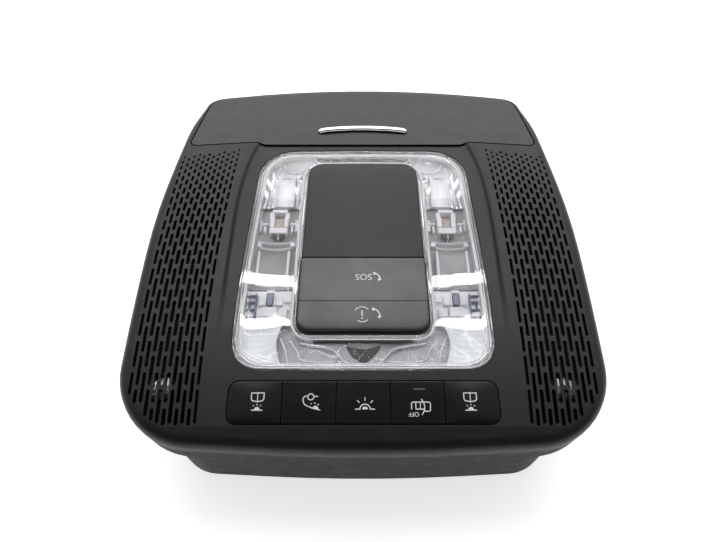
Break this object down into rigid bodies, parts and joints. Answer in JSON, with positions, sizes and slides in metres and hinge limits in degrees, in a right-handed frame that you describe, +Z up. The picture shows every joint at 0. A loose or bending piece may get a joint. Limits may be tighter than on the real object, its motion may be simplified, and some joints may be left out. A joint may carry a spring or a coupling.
{
  "type": "car interior light",
  "caption": "Roof console lamp: crowned slotted bezel, clear lamp ring, raised key panel, key row and hinged glasses compartment.",
  "frame": {"origin": "middle of the back on which the unit lies, under the centre of its outline", "axes": "+X to the right, +Y towards the windscreen end with the compartment lid, +Z up out of the visible face"},
  "size_m": [0.225, 0.2348, 0.0695],
  "materials": {
    "bezel_black": "fine grain, satin",
    "housing_black": "moulded, satin",
    "lid_grey": "fine grain, soft",
    "panel_grey": "smooth, soft",
    "key_black": "smooth, satin",
    "clear": "clear moulding, polished",
    "reflector_white": "bright white",
    "chrome": "satin bright",
    "steel": "plain",
    "brass": "tinned",
    "board_green": "solder mask",
    "led_yellow": "phosphor",
    "silicone": "matt",
    "rubber_black": "matt",
    "felt": "flocked",
    "natural_plastic": "natural"
  },
  "bodies": {
    "console": {"bezel": "bezel_black", "rear_housing": "housing_black", "lens_ring": "clear", "reflector": "reflector_white", "reading_optic_left": "clear", "reading_optic_right": "clear", "room_optic_left": "clear", "room_optic_right": "clear", "led_chips": "led_yellow", "circuit_board": "board_green", "switch_mat": "silicone", "key_switches": "housing_black", "connector_socket": "natural_plastic", "connector_pins": "brass", "centre_plate": "panel_grey", "centre_frame": "housing_black", "key_carrier": "housing_black", "microphone_left": "steel", "microphone_right": "steel", "microphone_boots": "rubber_black", "spring_clips": "steel", "housing_screws": "steel", "board_screws": "steel", "hinge_pins": "steel", "latch_body": "housing_black"},
    "lid": {"compartment_lid": "lid_grey", "chrome_strip": "chrome", "glasses_tray": "housing_black", "tray_liner": "felt", "latch_striker": "natural_plastic"},
    "reading_key_left_body": {"reading_key_left": "key_black"},
    "rear_seat_key_body": {"rear_seat_key": "key_black"},
    "room_light_key_body": {"room_light_key": "key_black"},
    "door_light_key_body": {"door_light_key": "key_black"},
    "reading_key_right_body": {"reading_key_right": "key_black"},
    "emergency_key_body": {"emergency_key": "panel_grey"},
    "telephone_key_body": {"telephone_key": "panel_grey"}
  },
  "joints": [
    {"name": "lid_hinge", "type": "hinge", "parent": "console", "child": "lid", "pos_m": [0, 0.09, 0.05712], "axis": [-1, 0, 0], "range_deg": [0, 50]},
    {"name": "reading_key_left_press", "type": "slide", "parent": "console", "child": "reading_key_left_body", "axis": [0, 0, -1], "range_m": [0, 0.001], "stiffness_N_per_m": 900},
    {"name": "rear_seat_key_press", "type": "slide", "parent": "console", "child": "rear_seat_key_body", "axis": [0, 0, -1], "range_m": [0, 0.001], "stiffness_N_per_m": 900},
    {"name": "room_light_key_press", "type": "slide", "parent": "console", "child": "room_light_key_body", "axis": [0, 0, -1], "range_m": [0, 0.001], "stiffness_N_per_m": 900},
    {"name": "door_light_key_press", "type": "slide", "parent": "console", "child": "door_light_key_body", "axis": [0, 0, -1], "range_m": [0, 0.001], "stiffness_N_per_m": 900},
    {"name": "reading_key_right_press", "type": "slide", "parent": "console", "child": "reading_key_right_body", "axis": [0, 0, -1], "range_m": [0, 0.001], "stiffness_N_per_m": 900},
    {"name": "emergency_key_press", "type": "slide", "parent": "console", "child": "emergency_key_body", "axis": [0, 0, -1], "range_m": [0, 0.001], "stiffness_N_per_m": 900},
    {"name": "telephone_key_press", "type": "slide", "parent": "console", "child": "telephone_key_body", "axis": [0, 0, -1], "range_m": [0, 0.001], "stiffness_N_per_m": 900}
  ]
}
